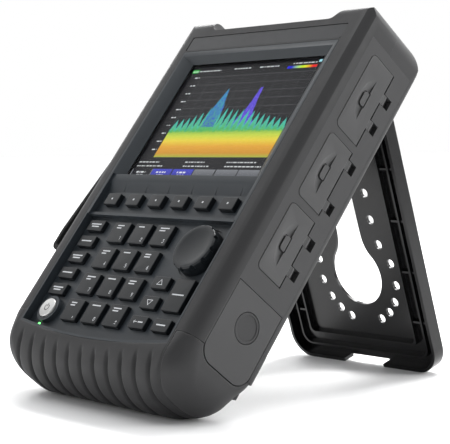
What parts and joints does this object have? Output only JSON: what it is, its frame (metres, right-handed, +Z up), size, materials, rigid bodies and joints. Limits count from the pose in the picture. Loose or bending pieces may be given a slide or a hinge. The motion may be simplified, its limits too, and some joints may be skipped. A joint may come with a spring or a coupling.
{
  "type": "vector network analyzer",
  "caption": "Handheld network analyzer: screen over soft keys, keypad with tuning knob, rubber bumpers, hinged port doors, battery door, hand strap and folding kickstand.",
  "frame": {"origin": "on the table, under the middle of the object's overall box", "axes": "+X to the right of someone facing the screen, +Y to the back, +Z up; the case leans back on its open stand"},
  "size_m": [0.209, 0.2658, 0.2509],
  "materials": {
    "housing": "matt, warm grey",
    "rubber": "matt, fine texture",
    "guard": "matt, smooth",
    "panel": "fine texture, mid grey",
    "door": "fine texture, light grey",
    "bezel": "satin, slate",
    "key": "satin, near black",
    "button_metal": "satin",
    "knob": "matt",
    "glass": "gloss",
    "screen": "lit picture",
    "light": "translucent",
    "plate": "satin",
    "steel": "plain",
    "nickel": "satin",
    "stand": "smooth",
    "strap": "webbing and padded leatherette",
    "board": "coated",
    "pack": "matt"
  },
  "bodies": {
    "instrument": {"encoder": "steel", "front_bezel": "bezel", "display_glass": "glass", "lcd_panel": "screen", "nameplate": "plate", "status_light": "light", "front_bumper": "rubber", "nose_bumper": "rubber", "corner_guard_left": "guard", "corner_guard_right": "guard", "rear_housing": "housing", "case_screws": "steel", "side_panel_left": "panel", "side_panel_right": "panel", "hinge_pins": "steel", "battery_pack": "pack", "hand_strap": "strap", "strap_anchors": "key", "top_panel": "plate", "rf_ports": "nickel", "coax_ports": "nickel", "keypad_board": "board", "main_board": "board", "port_sockets": "nickel"},
    "softkey_1": {"softkey_1": "key"},
    "softkey_2": {"softkey_2": "key"},
    "softkey_3": {"softkey_3": "key"},
    "softkey_4": {"softkey_4": "key"},
    "softkey_5": {"softkey_5": "key"},
    "softkey_6": {"softkey_6": "key"},
    "function_key_1": {"function_key_1": "key"},
    "function_key_2": {"function_key_2": "key"},
    "function_key_3": {"function_key_3": "key"},
    "function_key_4": {"function_key_4": "key"},
    "function_key_5": {"function_key_5": "key"},
    "key_1": {"key_1": "key"},
    "key_2": {"key_2": "key"},
    "key_3": {"key_3": "key"},
    "key_4": {"key_4": "key"},
    "key_5": {"key_5": "key"},
    "key_6": {"key_6": "key"},
    "key_7": {"key_7": "key"},
    "key_8": {"key_8": "key"},
    "key_9": {"key_9": "key"},
    "key_point": {"key_point": "key"},
    "key_0": {"key_0": "key"},
    "key_sign": {"key_sign": "key"},
    "key_up": {"key_up": "key"},
    "key_down": {"key_down": "key"},
    "key_enter": {"key_enter": "key"},
    "key_back": {"key_back": "key"},
    "key_escape": {"key_escape": "key"},
    "power_button": {"power_button": "button_metal"},
    "tuning_knob": {"tuning_knob": "knob"},
    "port_door_lower": {"port_door_lower": "door"},
    "port_door_middle": {"port_door_middle": "door"},
    "port_door_upper": {"port_door_upper": "door"},
    "battery_door": {"battery_door": "panel"},
    "battery_button": {"battery_button": "door"},
    "kickstand": {"kickstand": "stand"}
  },
  "joints": [
    {"name": "softkey_1_press", "type": "slide", "parent": "instrument", "child": "softkey_1", "axis": [0, 0.7815, -0.6239], "range_m": [0, 0.0012], "stiffness_N_per_m": 800, "springref_m": -0.0006},
    {"name": "softkey_2_press", "type": "slide", "parent": "instrument", "child": "softkey_2", "axis": [0, 0.7815, -0.6239], "range_m": [0, 0.0012], "stiffness_N_per_m": 800, "springref_m": -0.0006},
    {"name": "softkey_3_press", "type": "slide", "parent": "instrument", "child": "softkey_3", "axis": [0, 0.7815, -0.6239], "range_m": [0, 0.0012], "stiffness_N_per_m": 800, "springref_m": -0.0006},
    {"name": "softkey_4_press", "type": "slide", "parent": "instrument", "child": "softkey_4", "axis": [0, 0.7815, -0.6239], "range_m": [0, 0.0012], "stiffness_N_per_m": 800, "springref_m": -0.0006},
    {"name": "softkey_5_press", "type": "slide", "parent": "instrument", "child": "softkey_5", "axis": [0, 0.7815, -0.6239], "range_m": [0, 0.0012], "stiffness_N_per_m": 800, "springref_m": -0.0006},
    {"name": "softkey_6_press", "type": "slide", "parent": "instrument", "child": "softkey_6", "axis": [0, 0.7815, -0.6239], "range_m": [0, 0.0012], "stiffness_N_per_m": 800, "springref_m": -0.0006},
    {"name": "function_key_1_press", "type": "slide", "parent": "instrument", "child": "function_key_1", "axis": [0, 0.7815, -0.6239], "range_m": [0, 0.0012], "stiffness_N_per_m": 800, "springref_m": -0.0006},
    {"name": "function_key_2_press", "type": "slide", "parent": "instrument", "child": "function_key_2", "axis": [0, 0.7815, -0.6239], "range_m": [0, 0.0012], "stiffness_N_per_m": 800, "springref_m": -0.0006},
    {"name": "function_key_3_press", "type": "slide", "parent": "instrument", "child": "function_key_3", "axis": [0, 0.7815, -0.6239], "range_m": [0, 0.0012], "stiffness_N_per_m": 800, "springref_m": -0.0006},
    {"name": "function_key_4_press", "type": "slide", "parent": "instrument", "child": "function_key_4", "axis": [0, 0.7815, -0.6239], "range_m": [0, 0.0012], "stiffness_N_per_m": 800, "springref_m": -0.0006},
    {"name": "function_key_5_press", "type": "slide", "parent": "instrument", "child": "function_key_5", "axis": [0, 0.7815, -0.6239], "range_m": [0, 0.0012], "stiffness_N_per_m": 800, "springref_m": -0.0006},
    {"name": "key_1_press", "type": "slide", "parent": "instrument", "child": "key_1", "axis": [0, 0.7815, -0.6239], "range_m": [0, 0.0012], "stiffness_N_per_m": 800, "springref_m": -0.0006},
    {"name": "key_2_press", "type": "slide", "parent": "instrument", "child": "key_2", "axis": [0, 0.7815, -0.6239], "range_m": [0, 0.0012], "stiffness_N_per_m": 800, "springref_m": -0.0006},
    {"name": "key_3_press", "type": "slide", "parent": "instrument", "child": "key_3", "axis": [0, 0.7815, -0.6239], "range_m": [0, 0.0012], "stiffness_N_per_m": 800, "springref_m": -0.0006},
    {"name": "key_4_press", "type": "slide", "parent": "instrument", "child": "key_4", "axis": [0, 0.7815, -0.6239], "range_m": [0, 0.0012], "stiffness_N_per_m": 800, "springref_m": -0.0006},
    {"name": "key_5_press", "type": "slide", "parent": "instrument", "child": "key_5", "axis": [0, 0.7815, -0.6239], "range_m": [0, 0.0012], "stiffness_N_per_m": 800, "springref_m": -0.0006},
    {"name": "key_6_press", "type": "slide", "parent": "instrument", "child": "key_6", "axis": [0, 0.7815, -0.6239], "range_m": [0, 0.0012], "stiffness_N_per_m": 800, "springref_m": -0.0006},
    {"name": "key_7_press", "type": "slide", "parent": "instrument", "child": "key_7", "axis": [0, 0.7815, -0.6239], "range_m": [0, 0.0012], "stiffness_N_per_m": 800, "springref_m": -0.0006},
    {"name": "key_8_press", "type": "slide", "parent": "instrument", "child": "key_8", "axis": [0, 0.7815, -0.6239], "range_m": [0, 0.0012], "stiffness_N_per_m": 800, "springref_m": -0.0006},
    {"name": "key_9_press", "type": "slide", "parent": "instrument", "child": "key_9", "axis": [0, 0.7815, -0.6239], "range_m": [0, 0.0012], "stiffness_N_per_m": 800, "springref_m": -0.0006},
    {"name": "key_point_press", "type": "slide", "parent": "instrument", "child": "key_point", "axis": [0, 0.7815, -0.6239], "range_m": [0, 0.0012], "stiffness_N_per_m": 800, "springref_m": -0.0006},
    {"name": "key_0_press", "type": "slide", "parent": "instrument", "child": "key_0", "axis": [0, 0.7815, -0.6239], "range_m": [0, 0.0012], "stiffness_N_per_m": 800, "springref_m": -0.0006},
    {"name": "key_sign_press", "type": "slide", "parent": "instrument", "child": "key_sign", "axis": [0, 0.7815, -0.6239], "range_m": [0, 0.0012], "stiffness_N_per_m": 800, "springref_m": -0.0006},
    {"name": "key_up_press", "type": "slide", "parent": "instrument", "child": "key_up", "axis": [0, 0.7815, -0.6239], "range_m": [0, 0.0012], "stiffness_N_per_m": 800, "springref_m": -0.0006},
    {"name": "key_down_press", "type": "slide", "parent": "instrument", "child": "key_down", "axis": [0, 0.7815, -0.6239], "range_m": [0, 0.0012], "stiffness_N_per_m": 800, "springref_m": -0.0006},
    {"name": "key_enter_press", "type": "slide", "parent": "instrument", "child": "key_enter", "axis": [0, 0.7815, -0.6239], "range_m": [0, 0.0012], "stiffness_N_per_m": 800, "springref_m": -0.0006},
    {"name": "key_back_press", "type": "slide", "parent": "instrument", "child": "key_back", "axis": [0, 0.7815, -0.6239], "range_m": [0, 0.0012], "stiffness_N_per_m": 800, "springref_m": -0.0006},
    {"name": "key_escape_press", "type": "slide", "parent": "instrument", "child": "key_escape", "axis": [0, 0.7815, -0.6239], "range_m": [0, 0.0012], "stiffness_N_per_m": 800, "springref_m": -0.0006},
    {"name": "power_button_press", "type": "slide", "parent": "instrument", "child": "power_button", "axis": [0, 0.7815, -0.6239], "range_m": [0, 0.0012], "stiffness_N_per_m": 800, "springref_m": -0.0006},
    {"name": "tuning_knob_turn", "type": "hinge", "parent": "instrument", "child": "tuning_knob", "pos_m": [0.06525, -0.07886, 0.09727], "axis": [0, -0.7815, 0.6239], "continuous": true},
    {"name": "port_door_lower_hinge", "type": "hinge", "parent": "instrument", "child": "port_door_lower", "pos_m": [0.10235, -0.0326, 0.094], "axis": [0, 0.6239, 0.7815], "range_deg": [0, 110]},
    {"name": "port_door_middle_hinge", "type": "hinge", "parent": "instrument", "child": "port_door_middle", "pos_m": [0.10235, 0.0014, 0.13659], "axis": [0, 0.6239, 0.7815], "range_deg": [0, 110]},
    {"name": "port_door_upper_hinge", "type": "hinge", "parent": "instrument", "child": "port_door_upper", "pos_m": [0.10235, 0.03796, 0.18239], "axis": [0, 0.6239, 0.7815], "range_deg": [0, 110]},
    {"name": "battery_door_slide", "type": "slide", "parent": "instrument", "child": "battery_door", "axis": [1, 0, 0], "range_m": [0, 0.012]},
    {"name": "battery_button_press", "type": "slide", "parent": "battery_door", "child": "battery_button", "axis": [-1, 0, 0], "range_m": [0, 0.0012], "stiffness_N_per_m": 800, "springref_m": -0.0006},
    {"name": "kickstand_hinge", "type": "hinge", "parent": "instrument", "child": "kickstand", "pos_m": [0.01025, 0.06683, 0.19082], "axis": [-1, 0, 0], "range_deg": [0, 56.06]}
  ]
}
